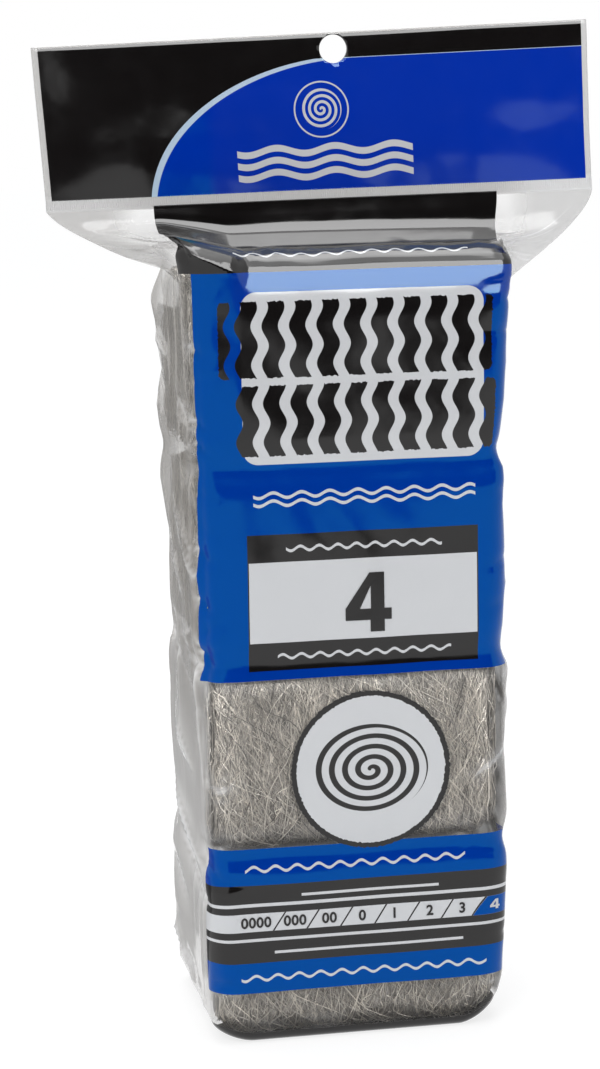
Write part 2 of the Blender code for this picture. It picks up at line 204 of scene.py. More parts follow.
def round_strands(random, count, middle, spread, steps=12):
    """Loose strands over the pad's round: they run along the ribbon, wander across it and lift off."""
    share = np.linspace(0, 1, steps)[None, :]
    length = random.uniform(0.012, 0.050, (count, 1)) / outline_length
    start = middle + random.uniform(-spread, spread, (count, 1)) - length / 2
    lean = random.normal(0, 0.30, (count, 1)) + np.where(random.random((count, 1)) < 0.12, 1.1, 0.0)
    x0 = random.uniform(-1, 1, (count, 1)) * (pad_half[0] - 0.002)
    wave = random.uniform(0.0004, 0.0022, (count, 1))
    pace = random.uniform(0.6, 2.2, (count, 1))
    phase = random.uniform(0, math.tau, (count, 1))
    x = x0 + lean * length * outline_length * (share - 0.5) + wave * np.sin(math.tau * pace * share + phase)
    x = np.clip(x, -pad_half[0] + edge_room, pad_half[0] - edge_room)
    lift = random.uniform(0.0, strand_lift, (count, 1)) * np.clip((pad_half[0] - np.abs(x)) / 0.008, 0.1, 1)
    depth = strand_depth - lift * np.sin(math.pi * share) ** 0.6
    depth = depth + strand_crimp * np.sin(math.tau * 3 * share + phase)
    point, normal = on_pad(x, start + length * share, depth)
    return point, normal, random.choice([1.0, 1.0, 1.6], count) * random.uniform(0.00007, 0.00013, count)


def end_strands(random, count, side, loose=0.0011, steps=7):
    """Strands in a pad's end: they follow the turns, cross to the next, and stand off by up to loose."""
    share = np.linspace(0, 1, steps)[None, :]
    length = random.uniform(0.006, 0.026, (count, 1)) / outline_length
    start = random.uniform(0, 1, (count, 1))
    inset = end_strand_inset + random.uniform(0, 1, (count, 1)) ** 0.8 * pad_half[1] * end_strand_reach
    cross = random.normal(0, 0.0009, (count, 1))
    phase = random.uniform(0, math.tau, (count, 1))
    inset = inset + cross * (share - 0.5) * 2 + 0.0004 * np.sin(math.tau * share * 1.5 + phase)
    inset = np.clip(inset, 0.0026, pad_half[1] * 0.95)
    rounding = 0.0016 * np.clip(1 - inset / 0.003, 0, 1) ** 2
    lift = random.uniform(0.0, 1.0, (count, 1)) ** 0.6 * loose
    depth = end_strand_depth + rounding - lift * np.sin(math.pi * share) ** 0.6
    shrink = length * (1 + 2 * inset.mean(axis=1, keepdims=True) / pad_half[1])
    point, normal = on_pad_end(side, start + shrink * share, inset, depth)
    return point, normal, random.uniform(0.00010, 0.00020, count)


def plug(tree, socket, value):
    """Links a socket to an input, or sets the input to a plain value."""
    if isinstance(value, bpy.types.NodeSocket):
        tree.links.new(value, socket)
    else:
        socket.default_value = value


def plugged(tree, node, **inputs):
    """Plugs inputs, with _ for a space in their names, of a node or of a new node of this kind."""
    node = tree.nodes.new("ShaderNode" + node) if isinstance(node, str) else node
    for name, value in inputs.items():
        plug(tree, node.inputs[name.replace("_", " ")], value)
    return node


def node_maker(tree):
    """Three functions for one node tree: fill sockets with links or values, add math, and add vector math."""

    def fill(sockets, values):
        for socket, value in zip(sockets, values, strict=False):
            plug(tree, socket, value)

    def number(operation, *values, clamp=False):
        node = tree.nodes.new("ShaderNodeMath")
        node.operation = operation
        node.use_clamp = clamp
        fill(node.inputs, values)
        return node.outputs[0]

    def vector(operation, *values):
        node = tree.nodes.new("ShaderNodeVectorMath")
        node.operation = operation
        fill(node.inputs, values)
        return node.outputs["Value" if operation == "LENGTH" else "Vector"]

    return fill, number, vector


def new_material(name):
    """A material with nodes, its tree and its shader."""
    made = bpy.data.materials.new(name)
    made.use_nodes = True
    return made, made.node_tree, made.node_tree.nodes["Principled BSDF"]


steel_dark, steel_middle = (0.085, 0.080, 0.074, 1), (0.50, 0.47, 0.43, 1)
steel_bright = (0.95, 0.89, 0.80, 1)
scratches_along, scratch_scale, scratch_share, tone_shift = (1.0, 1.0, 0.22), 1400.0, 0.35, 0.17


def wool_material():
    """Drawn steel with a dull skin: each strand has its own tone, and scratches run along it."""
    made, tree, shader = new_material("steel_wool")
    _, number, _ = node_maker(tree)
    tone = tree.nodes.new("ShaderNodeAttribute")
    tone.attribute_name = "tone"
    place = tree.nodes.new("ShaderNodeTexCoord").outputs["Object"]
    stretched = plugged(tree, "Mapping", Vector=place, Scale=scratches_along).outputs["Vector"]
    grain = plugged(tree, "TexNoise", Vector=stretched, Scale=scratch_scale, Detail=3.0).outputs["Fac"]
    shade = number("MULTIPLY_ADD", grain, scratch_share, number("SUBTRACT", tone.outputs["Fac"], tone_shift))
    ramp = plugged(tree, "ValToRGB", Fac=shade)
    stops = ramp.color_ramp.elements
    stops[0].color, stops[1].color = steel_dark, steel_bright
    stops.new(0.5).color = steel_middle
    rough = plugged(tree, "MapRange", Value=grain, To_Min=0.28, To_Max=0.52).outputs["Result"]
    bump = plugged(tree, "Bump", Strength=0.4, Distance=0.0001, Height=grain).outputs["Normal"]
    plugged(tree, shader, Base_Color=ramp.outputs["Color"], Metallic=0.75, Roughness=rough, Normal=bump)
    return made


wool = wool_material()
front_turn, back_turn, top_turn, low_front_turn = 0.5, 0.0, 0.25, 0.62
# for each row from the bottom: loose strands and how far they stand off, at the left end and at the right,
# then strands on the front, the turn that they lie about and how far round they spread
loose_left = ((30, 0.0016), (120, 0.0030), (170, 0.0032), (200, 0.0046))
loose_right = ((110, 0.0028), (130, 0.0042), (10, 0.0016), (10, 0.0016))
front_strands = (
    (700, low_front_turn, 0.14),
    (2100, front_turn, 0.19),
    (90, front_turn, 0.2),
    (90, front_turn, 0.2),
)
for row in range(4):
    for layer in range(4):
        random = np.random.default_rng(100 + 10 * row + layer)
        pad_base_parts = pad_base(random)
        base_points = pad_base_parts[0]
        groups = [end_strands(random, 170, -1), end_strands(random, 150, 1)]
        for side, (count, loose) in ((-1, loose_left[row]), (1, loose_right[row])):
            groups.append(end_strands(random, count, side, loose, steps=6))
        if layer == 0:
            groups.append(round_strands(random, *front_strands[row]))
        if layer == 3:
            groups.append(round_strands(random, 600, back_turn, 0.20, steps=9))
        if row == 3:
            groups.append(round_strands(random, 110, top_turn, 0.05))
        gathered = [[part] for part in pad_base_parts]
        done = len(base_points)
        for point, normal, radius in groups:
            points, quads, tips = strands_of(point, normal, radius)
            tone = np.clip(random.beta(2.0, 1.7, len(point)), 0.05, 1)
            added = (points, quads + done, tips + done, np.repeat(tone, point.shape[1] * 3))
            for parts, part in zip(gathered, added, strict=True):
                parts.append(part)
            done += len(points)
        place = np.array([stack_middle_x, (layer - 1.5) * pad_pitch_y, first_pad_z + row * pad_pitch_z])
        node = f"wool_pad_row{row + 1}_layer{layer + 1}"
        points, quads, fans, tones = (np.concatenate(parts) for parts in gathered)
        points = points + place
        points[:, 2] += corner_rise(points[:, 0] - stack_middle_x, points[:, 2])
        pad = mesh_of(f"rolled_{node}", points, quads, fans, tones)
        pad.data.materials.append(wool)
        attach(pad, "root")
        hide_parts(node)

# Film bag. One tube of clear film, folded at the bottom and up round the pads, closed as a gable with an ear
# at each side, crimped in the seal, and pressed flat as the header that it hangs from. The print is on the
# film, so its inks are in the film's material.
half_low, bag_flare, half_depth = 0.0469, 0.0200, 0.0380
corner_low, corner_high = 0.0080, 0.0060
bottom_round, bottom_seam_share = 0.0040, 0.65
shoulder, gable_rise, seal_height, header_height = 0.24575, 0.0213, 0.0037, 0.0491
seal_bottom = shoulder + gable_rise
header_top = seal_bottom + seal_height + header_height
flat_half = 0.00035
film_slack, seal_gather = 1.022, 0.015
seal_tilt, header_tilt = math.radians(0.9), math.radians(2.0)
header_bow, header_puff = 0.0016, 0.0005
gable_length = 0.0506
pad_seams = (0.0624, 0.1244, 0.1864)
front_columns, corner_columns, side_columns = 31, 9, 36
bottom_rows, wall_rows, gable_rows, header_rows = 8, 168, 84, 32
bottom_lift, lean_from, lean_most = 0.00005, 0.230, 0.0022
ear_root_from, root_pull, seal_pull = 0.205, 0.22, 0.28
right_root_drop, right_tip = 0.0120, (0.0868, 0.2574)
left_root_drop, left_tip = 0.0, (0.0802, 0.2566)
held_from, held_height = 0.0310, 0.0090
header_wider_low, header_wider_left = 0.020, 0.011


def ease(share):
    """Smooth step from 0 to 1."""
    share = np.clip(share, 0, 1)
    return share * share * (3 - 2 * share)


def half_width(z):
    """Half the bag's width at height z: it flares from the bottom to the shoulder."""
    return half_low + bag_flare * np.clip(z, 0, shoulder)


def corner_round(z):
    """Radius of the bag's upright corners at height z."""
    return corner_low + (corner_high - corner_low) * np.clip(z / shoulder, 0, 1)


def quarter_length(z):
    """Length of film from the front's middle to the side fold at height z."""
    radius = corner_round(z)
    return half_width(z) - radius + half_depth - radius + radius * math.pi / 2


def quarter_shares():
    """Shares of that length at each column, closer together at the corner and the side."""
    radius = corner_round(shoulder)
    run_x = half_width(shoulder) - radius
    arc = radius * math.pi / 2
    front = np.linspace(0, run_x, front_columns)
    corner = run_x + arc * np.arange(1, corner_columns + 1) / corner_columns
    side = run_x + arc + (half_depth - radius) * np.arange(1, side_columns + 1) / side_columns
    return np.concatenate([front, corner, side]) / quarter_length(shoulder)


def section(share, z, inset=0.0):
    """A quarter of the rounded rectangle at height z by length: X, Y, the corner's and the side's share."""
    radius = np.maximum(corner_round(z) - inset, 0.0008)
    run_x = half_width(z) - inset - radius
    run_y = half_depth - inset - radius
    arc = radius * math.pi / 2
    length = share * (run_x + arc + run_y)
    angle = np.clip((length - run_x) / radius, 0, math.pi / 2)
    down_side = np.maximum(length - run_x - arc, 0)
    x = np.minimum(length, run_x) + radius * np.sin(angle)
    y = run_y - down_side + radius * np.cos(angle) + flat_half * down_side / run_y
    return x, y, angle / (math.pi / 2), down_side / run_y, length


shares = quarter_shares()
flat_width = quarter_length(shoulder) * film_slack
fold_number = len(shares)
# the gable's middle from the side, in millimetres back from the front and up from the shoulder
rolls_back = (0, 1.2, 3.2, 6, 9, 12, 15.5, 18, 22, 26, 30, 31.6, 34, 36.2, 37, 37.4, 37.6, 38)
rolls_up = (0, 3, 5.2, 6.9, 7.9, 8.4, 8.2, 7.6, 7, 6.7, 6.7, 7.5, 9.6, 11.7, 13.1, 14.6, 17.5, 21.3)
gable_rolls = np.stack([rolls_back, rolls_up], axis=1) / (38.0, 21.3)


def gable_path(share):
    """Shares of the way back and up, for a share of the path from the shoulder over two rolls of film."""
    steps = np.hypot(*(np.diff(gable_rolls, axis=0) * (half_depth, gable_rise)).T)
    walked = np.concatenate([[0], np.cumsum(steps)]) / steps.sum()
    fine = np.linspace(0, 1, 401)
    window = np.hanning(15) / np.hanning(15).sum()
    smooth = []
    for line in gable_rolls.T:
        padded = np.pad(np.interp(fine, walked, line), 7, mode="reflect", reflect_type="odd")
        smooth.append(np.convolve(padded, window, mode="valid"))
    return [np.interp(share, fine, line) for line in smooth]


def film_quarter(root_drop, tip_x, tip_z, held_most):
    """Rows of the quarter bag from the bottom's seam to the header's top: X, Y, Z and the print's U and V.

    The bottom is drawn from its seam to the turn, the wall climbs with the rounded rectangle, the gable's
    columns climb over the rolls of film, or at the ear a cubic Bezier curve round its tip, to the seal, and
    the header is the pressed tube. U is the length round the bag and V the length up it.
    """
    rows = []
    edge_x, edge_y, _, _, length = section(shares, 0.0, bottom_round)
    for share in np.linspace(0, 1, bottom_rows):
        width = bottom_seam_share + (1 - bottom_seam_share) * share
        y = flat_half + (edge_y - flat_half) * share
        rows.append((edge_x * width, y, 0 * y + bottom_lift, length, y - half_depth + 0.0015))
    x, y, corner, side, length = section(shares, shoulder)
    ear = ease((np.maximum(corner - 0.5, 0) * 0.3 + side) / 1.15)
    held = held_most * np.clip((length - held_from) / (half_width(shoulder) - held_from), 0, 1)
    leaning = lean_most * (1 - np.clip(held / 0.002, 0, 1))
    turn = bottom_round * (1 - np.cos(np.radians([20, 38, 56, 74])))
    heights = np.concatenate([turn, np.linspace(bottom_round, shoulder, wall_rows)])
    for z in heights:
        rise = min(z / bottom_round, 1.0)
        drawn_in = bottom_round * (1 - math.sqrt(1 - (1 - rise) ** 2))
        x, y, _, _, length = section(shares, z, drawn_in)
        lean = leaning * max((z - lean_from) / (shoulder - lean_from), 0) ** 3
        dropped = root_drop * ear * ease((z - ear_root_from) / (shoulder - ear_root_from))
        rows.append((x, y * (1 - lean / half_depth), z - dropped, length, 0 * x + z))
    x, y, corner, side, length = section(shares, shoulder)
    across = shares * flat_width * (1 - seal_gather)
    y = y * (1 - leaning / half_depth)
    root = np.array([x, y, shoulder - root_drop * ear])
    end = np.array([across, flat_half + 0 * x, seal_bottom + 0 * x])
    tip = np.array([tip_x + 0 * x, flat_half + 0 * x, tip_z + 0 * x])
    curve = (root, tip + (root - tip) * root_pull, tip + (end - tip) * seal_pull, end)
    for share in np.linspace(0, 1, gable_rows)[1:]:
        left = 1 - share
        weights = (left**3, 3 * left**2 * share, 3 * left * share**2, share**3)
        bent = sum(weight * part for weight, part in zip(weights, curve, strict=True))
        climbed = np.minimum(gable_length * share, held)
        back, up = gable_path((gable_length * share - climbed) / (gable_length - held))
        risen = shoulder + climbed + (gable_rise - held) * up
        rolled = np.array([x + (across - x) * share, y + (flat_half - y) * back, risen])
        row = rolled * (1 - ear) + bent * ear
        u = length + (shares * flat_width - length) * share
        rows.append((*row, u, 0 * x + shoulder + gable_length * share))
    u = shares * flat_width
    for height in (0.0009, 0.0018, 0.0028, seal_height):
        v = shoulder + gable_length + height
        rows.append((u * (1 - seal_gather), flat_half + 0 * u, 0 * u + seal_bottom + height, u, 0 * u + v))
    for rise in np.linspace(0, 1, header_rows)[1:]:
        gather = 1 - seal_gather * (1 - rise)
        puff = header_puff * math.sin(math.pi * rise) * (1 - shares**4)
        z = seal_bottom + seal_height + header_height * rise
        v = shoulder + gable_length + seal_height + header_height * rise
        rows.append((u * gather, flat_half + puff, 0 * u + z, u, 0 * u + v))
    return [np.array([row[axis] for row in rows]) for axis in range(5)]


def all_round(right, left_rear, left_front):
    """Quarters' columns put round the tube: right front, right back, left back, left front."""
    return np.concatenate([right, right[:, ::-1], left_rear[:, 1:], left_front[:, :0:-1]], axis=1)


def folds(u, v, places, angles, reaches, widths, heights):
    """Creases in the film: sharp ridges h * exp(-|d| / w) about short lines, faded out at both ends."""
    total = np.zeros_like(u)
    for place, angle, reach, width, height in zip(places, angles, reaches, widths, heights, strict=True):
        du, dv = u - place[0], v - place[1]
        along = du * math.cos(angle) + dv * math.sin(angle)
        off = -du * math.sin(angle) + dv * math.cos(angle)
        fade = np.clip(1 - (along / reach) ** 2, 0, 1) ** 1.5
        total += height * fade * np.exp(-np.abs(off) / width)
    return total


def waves(u, v, random, count, shortest, longest):
    """Gentle waves: a sum of sines in directions and lengths drawn between the shortest and the longest."""
    total = np.zeros_like(u)
    for _ in range(count):
        length = random.uniform(shortest, longest)
        angle = random.uniform(0, math.pi)
        along = u * math.cos(angle) + v * math.sin(angle)
        total += np.sin(math.tau * along / length + random.uniform(0, math.tau))
    return total / math.sqrt(count)


seam_pinch, seam_pinch_reach, low_wave = 0.0013, 0.0050, 0.00022
left_slack_height, dent_height, dent_reach, dent_width = 0.0018, 0.0012, 0.0085, 0.0012
dog_ear, dog_ear_reach, dog_ear_drop = 0.0026, 0.009, 0.011
pocket_height, pocket_reach, pocket_rise = 0.0046, 0.0085, 0.0035
# how far each side's back stands out beyond the fitted width, in millimetres at these heights
slack_levels = (0, 15, 30, 50, 70, 90, 120, 130, 155, 175, 184, 190, 205, 222, 235, 246)
left_slack = (1.2, 0.4, 2.0, 2.0, -0.1, 0.7, 0.4, -0.8, -2.4, 0.2, 0.0, -0.2, -0.9, -2.0, -1.4, -3.4)
right_slack = (0, 2.6, 3.5, 3.5, 3.2, 1.9, 1.6, 0.6, 1.2, 0.6, 1.4, -1.3, 0.1, 0.3, 0.9, 0.0)
clear_haze, back_haze, gable_haze, ear_haze, seal_haze, header_haze = 0.06, 0.06, 0.10, 0.50, 0.70, 0.55
fold_highlight_haze, sharpest_fold, clear_white, low_side_white, seal_white = 0.34, 0.00045, 0.26, 0.36, 0.26


def film_grid():
    """The whole film with its folds: points, the print's U and V, and each point's haze and paleness, both
    raised at folds as painted highlights.
    """
    right = film_quarter(right_root_drop, *right_tip, 0.0)
    left_rear = film_quarter(left_root_drop, *left_tip, 0.0)
    left_front = film_quarter(left_root_drop, *left_tip, held_height)
    x, y, z, length, v = (all_round(*parts) for parts in zip(right, left_rear, left_front, strict=True))
    side = np.concatenate([np.ones(2 * fold_number), -np.ones(2 * fold_number - 2)])
    rear = np.concatenate([-np.ones(fold_number), np.ones(2 * fold_number - 1), -np.ones(fold_number - 1)])
    x, y = x * side, y * rear
    pressed = v >= shoulder + gable_length
    full = length[:, fold_number - 1 : fold_number]
    u = np.where((rear > 0) & ~pressed, 2 * full - length, length) * side
    points = np.stack([x, y, z], axis=2)
    random = np.random.default_rng(7)
    on_wall = ease((z - 0.003) / 0.004) * ease((shoulder + 0.012 - v) / 0.012)
    across_side = np.clip(np.abs(x) / half_width(z), 0, 1)
    at_side = ease((across_side - 0.93) / 0.07) * ease((half_depth * 0.97 - np.abs(y)) / (half_depth * 0.16))
    inward = sum(seam_pinch * np.exp(-(((z - seam) / seam_pinch_reach) ** 2)) for seam in pad_seams)
    at_face = ease((np.abs(y) - half_depth / 2) / (half_depth / 4))
    bulge = inward * at_face * on_wall
    crease_u, crease_v = np.abs(u) - full, v
    for mirror in (-1, 1):
        chosen = np.where(side == mirror, 1.0, 0.0)
        outward = np.zeros_like(u)
        for count, slope, spread, longest, widest, highest in (
            (22, 0.30, 0.14, 0.034, 0.0052, 0.0022),
            (16, 1.42, 0.16, 0.046, 0.0016, 0.0008),
        ):
            across, up = random.uniform(-0.034, 0.034, count), random.uniform(0.006, 0.240, count)
            places = np.stack([across, up], axis=1)
            slopes = random.normal(slope, spread, count)
            reaches = random.uniform(0.5, 1.0, count) * longest
            widths = random.uniform(0.35, 1.0, count) * widest
            heights = random.uniform(0.3, 1.0, count) * highest * np.where(random.random(count) < 0.65, 1, -1)
            outward += folds(crease_u, crease_v, places, slopes, reaches, widths, heights)
        outward += 0.0003 * waves(crease_u, crease_v, random, 6, 0.020, 0.070)
        bulge -= outward * at_side * on_wall * chosen
        count = 34
        corner_u = random.choice([-1, 1], count) * (half_depth + random.normal(0, 0.002, count))
        places = np.stack([corner_u, random.uniform(0.012, 0.244, count)], axis=1)
        level = random.normal(0, 0.35, count)
        reaches, widths = random.uniform(0.004, 0.010, count), random.uniform(0.0006, 0.0016, count)
        heights = -random.uniform(0.0003, 0.0011, count)
        bulge -= folds(crease_u, crease_v, places, level, reaches, widths, heights) * on_wall * chosen
    front_waves = low_wave * waves(u, v, random, 9, 0.022, 0.080)
    dents_v = np.array([0.2235, 0.2010, 0.1935, 0.1600, 0.1440, 0.1270, 0.0570])
    places = np.stack([-0.0485 - 0.0012 * np.cos(dents_v * 400), dents_v], axis=1)
    steady = np.ones(len(dents_v))
    sizes = (dent_reach * steady, dent_width * steady, dent_height * steady)
    dents = folds(u, v, places, -0.55 * steady, *sizes)
    bulge += dents * (rear < 0) * on_wall
    soft_edge = np.clip((-u - 0.034) / 0.014, 0, 1) ** 2 * (1 - ease((-u - 0.048) / 0.008))
    bulge += left_slack_height * soft_edge * (rear < 0) * on_wall * ease((z - 0.058) / 0.050)
    bulge -= front_waves * (1 - at_side) * on_wall
    slope_u, slope_v = np.gradient(points, axis=1), np.gradient(points, axis=0)
    normal = np.cross(slope_u, slope_v)
    normal /= np.linalg.norm(normal, axis=2, keepdims=True) + 1e-12
    moved = points - normal * bulge[..., None]
    width = half_width(z)
    away = (z - (shoulder - dog_ear_drop)) ** 2 + (np.abs(x) - width) ** 2 + (y - half_depth) ** 2
    moved[..., 0] += side * dog_ear * np.exp(-(away / dog_ear_reach**2)) * on_wall
    away = (z - shoulder - pocket_rise) ** 2 + (x - width) ** 2 + (y + half_depth) ** 2
    moved[..., 0] += pocket_height * np.exp(-away / pocket_reach**2)
    levels = np.array(slack_levels) / 1000
    towards_back = ease((np.where(x < 0, y, -y) + half_depth * 1.05) / (half_depth * 1.9))
    slack = np.where(x < 0, np.interp(z, levels, left_slack), np.interp(z, levels, right_slack)) / 1000
    moved[..., 0] += side * slack * towards_back * ease((across_side - 0.82) / 0.18) * on_wall
    on_gable = ease((v - shoulder) / 0.010) * ease((shoulder + gable_length - v) / 0.012)
    apart = ease((np.abs(y) - 0.002) / 0.010)
    places, angles, reaches, widths, heights = [(-0.0420, 0.2507)], [-0.445], [0.0140], [0.0009], [0.0012]
    for _ in range(26):
        start_u = random.choice([-1, 1]) * random.uniform(0.018, 0.060)
        places.append((start_u, shoulder + random.uniform(0.004, 0.046)))
        angles.append(math.atan2(0.050, start_u * 0.9 + random.normal(0, 0.020)))
        reaches.append(random.uniform(0.006, 0.016))
        widths.append(random.uniform(0.0007, 0.0018))
        heights.append(random.uniform(0.0002, 0.0007) * random.choice([-1, 1]))
    for number in range(28):
        outwards, steep = (-1, 1)[number % 2], random.uniform(0.12, 1.35)
        away = random.uniform(0.012, 0.030)
        across = outwards * (0.0500 + away * math.cos(steep))
        places.append((across, shoulder + 0.003 + away * math.sin(steep)))
        angles.append(steep if outwards > 0 else math.pi - steep)
        reaches.append(random.uniform(0.010, 0.024))
        widths.append(random.uniform(0.0006, 0.0022))
        heights.append(random.uniform(0.0003, 0.0011) * random.choice([-1, 1]))
    gable_folds = folds(length * side, v, places, angles, reaches, widths, heights)
    gable_folds += low_wave * waves(u, v, random, 8, 0.018, 0.060)
    moved += normal * (gable_folds * on_gable * apart)[..., None]
    rise = np.clip((z - seal_bottom) / (header_top - seal_bottom), 0, 1)
    hang = ease((z - seal_bottom + 0.013) / 0.013)
    tilt = seal_tilt + (header_tilt - seal_tilt) * rise
    height = moved[..., 2] - seal_bottom
    moved[..., 0] *= 1 + hang * np.where(moved[..., 0] > 0, header_wider_low * (1 - rise), header_wider_left)
    moved[..., 2] += hang * moved[..., 0] * np.sin(tilt)
    moved[..., 0] -= np.maximum(height, 0) * math.sin(header_tilt)
    moved[..., 1] += hang * header_bow * np.cos(1.5 * math.pi * moved[..., 0] / flat_width) * (0.4 + rise)
    moved[..., 0] += stack_middle_x
    sheet_wave = low_wave * waves(moved[..., 0], moved[..., 2], random, 10, 0.012, 0.050)
    moved[..., 1] += hang * sheet_wave
    # Painted highlights: where the film bends sharply at a fold, it is made more opaque and whiter below,
    # standing in for the lamps that its creases mirror.
    bent = np.abs(np.gradient(np.gradient(bulge + gable_folds * on_gable, axis=0), axis=0))
    bent += np.abs(np.gradient(np.gradient(bulge + gable_folds * on_gable, axis=1), axis=1))
    bent = np.clip(bent / sharpest_fold, 0, 1)
    out_ear = ease((np.abs(length) - full * 0.62) / (full * 0.2)) * ease((v - shoulder) / 0.012)
    flank = np.where(rear > 0, ease((across_side - 0.78) / 0.20), at_side) * on_wall
    side_haze = 0.36 + 0.32 * ease((0.175 - z) / 0.100)
    haze_with_fold_highlight = clear_haze + side_haze * flank + back_haze * (rear > 0) + gable_haze * on_gable
    haze_with_fold_highlight = np.maximum(haze_with_fold_highlight, ear_haze * out_ear * (v < shoulder + gable_length))
    sealed = (v >= shoulder + gable_length - 0.0005) & (v <= shoulder + gable_length + seal_height + 0.0002)
    haze_with_fold_highlight = np.where(sealed, seal_haze, haze_with_fold_highlight)
    haze_with_fold_highlight = np.where(v > shoulder + gable_length + seal_height + 0.0003, header_haze, haze_with_fold_highlight)
    haze_with_fold_highlight = np.clip(haze_with_fold_highlight + bent * fold_highlight_haze, 0, 1)
    pale = clear_white - flank * (clear_white - low_side_white * ease((0.165 - z) / 0.100))
    # Painted highlight: the ears are made paler, the right one more than the left.
    pale = pale + out_ear * np.where(side > 0, 0.30, 0.10)
    pale_and_highlight = np.clip(pale + bent * (0.9 - 0.5 * at_side) + np.where(sealed, seal_white, 0), 0, 1)
    moved[..., 2] += corner_rise(x, z) * (v < 0.030)
    return moved, u, v, haze_with_fold_highlight, pale_and_highlight


film_points, film_u, film_v, film_haze_with_fold_highlight, film_pale_and_highlight = film_grid()


def film_mesh():
    """The tube of quads, closed across the bottom's seam and the header's top edge."""
    rows, columns = film_u.shape
    number = np.arange(rows * columns).reshape(rows, columns)
    low, high = number[:-1], number[1:]
    quads = np.stack([low, np.roll(low, -1, 1), np.roll(high, -1, 1), high], axis=-1).reshape(-1, 4)
    step = np.arange(-(fold_number - 1), fold_number - 1)
    far = 2 * fold_number - 1
    for ring, flip in ((number[0], True), (number[-1], False)):
        face = np.stack([ring[step], ring[step + 1], ring[far - step - 1], ring[far - step]], axis=1)
        quads = np.concatenate([quads, face[:, ::-1] if flip else face])
    made = mesh_of("printed_film_bag", film_points.reshape(-1, 3), quads, np.zeros((0, 3), int))
    mesh = made.data
    corners = np.zeros(len(mesh.loops), np.int32)
    mesh.loops.foreach_get("vertex_index", corners)
    layer = mesh.uv_layers.new(name="print")
    print_place = np.stack([film_u.ravel(), film_v.ravel()], axis=1)[corners]
    layer.data.foreach_set("uv", print_place.astype(np.float32).ravel())
    for name, values in (("haze_with_fold_highlight", film_haze_with_fold_highlight), ("pale_and_highlight", film_pale_and_highlight)):
        attribute = mesh.attributes.new(name, "FLOAT", "POINT")
        attribute.data.foreach_set("value", values.ravel().astype(np.float32))
    return made


def printed_box_group():
    """Mask of a rounded box: 1 where length(max(|place - middle| - half + rounding, 0)) < rounding."""
    group = bpy.data.node_groups.new("printed_box", "ShaderNodeTree")
    for name in ("Place", "Middle", "Half"):
        group.interface.new_socket(name, in_out="INPUT", socket_type="NodeSocketVector")
    for name in ("Rounding", "Ragged"):
        group.interface.new_socket(name, in_out="INPUT", socket_type="NodeSocketFloat")
    group.interface.new_socket("Mask", in_out="OUTPUT", socket_type="NodeSocketFloat")
    given = group.nodes.new("NodeGroupInput").outputs
    result = group.nodes.new("NodeGroupOutput")
    _, number, vector = node_maker(group)
    off = vector("ABSOLUTE", vector("SUBTRACT", given["Place"], given["Middle"]))
    past = vector("ADD", vector("SUBTRACT", off, given["Half"]), given["Rounding"])
    outside = vector("MULTIPLY", vector("MAXIMUM", past, (0, 0, 0)), (1, 1, 0))
    distance = number("SUBTRACT", vector("LENGTH", outside), given["Rounding"])
    noise = plugged(group, "TexNoise", Vector=given["Place"], Scale=rag_scale).outputs["Fac"]
    shift = number("MULTIPLY", number("SUBTRACT", noise, 0.5), given["Ragged"])
    sharp = number("MULTIPLY", number("ADD", distance, shift), -ink_edge)
    group.links.new(number("ADD", sharp, 1.0, clamp=True), result.inputs["Mask"])
    return group


blue, header_blue, black = (0.0, 0.032, 0.310, 1), (0.0, 0.028, 0.400, 1), (0.005, 0.004, 0.004, 1)
white, pale_blue = (0.60, 0.605, 0.62, 1), (0.50, 0.62, 0.76, 1)
# The film's hazy colour, and the white that its paleness and the painted highlights along folds mix it
# towards.
clear_film, pale_and_highlight_white = (0.34, 0.315, 0.285, 1), (0.95, 0.95, 0.96, 1)
ink_edge, rag_scale = 12000.0, 900.0
band_left, band_right, strip_low, strip_high = -52, 61, 37.4, 43.3
# plain fields in the order of printing: left, right, low and high in millimetres, rounding, raggedness, ink
printed_fields = (
    (-55, 57, 247.6, 297.0, 0, 0, black),
    (band_left, band_right, 17.0, 64.4, 0, 0, blue),
    (band_left, band_right, 27.0, 52.6, 0, 0, black),
    (band_left, band_right, -20.0, 3.6, 0, 0, black),
    (-33.9, 42.9, 187.8, 241.4, 5.0, 0, white),
    (-33.3, 40.8, 122.2, 165.8, 0, 0, black),
    (-32.9, 40.4, 131.3, 157.0, 0, 0, white),
    (-20.6, 31.1, 62.4, 114.1, 25.8, 1.2, black),
    (-18.9, 29.4, 64.1, 112.4, 24.1, 1.0, white),
    (band_left, band_right, 45.6, 46.6, 0, 0, white),
    (band_left, band_right, 34.1, 35.0, 0, 0, white),
    (band_left, band_right, strip_low, strip_high, 0, 0, white),
    (-18, 27, 48.4, 49.2, 0, 0, white),
    (-27, 35, 29.8, 30.6, 0, 0, white),
)
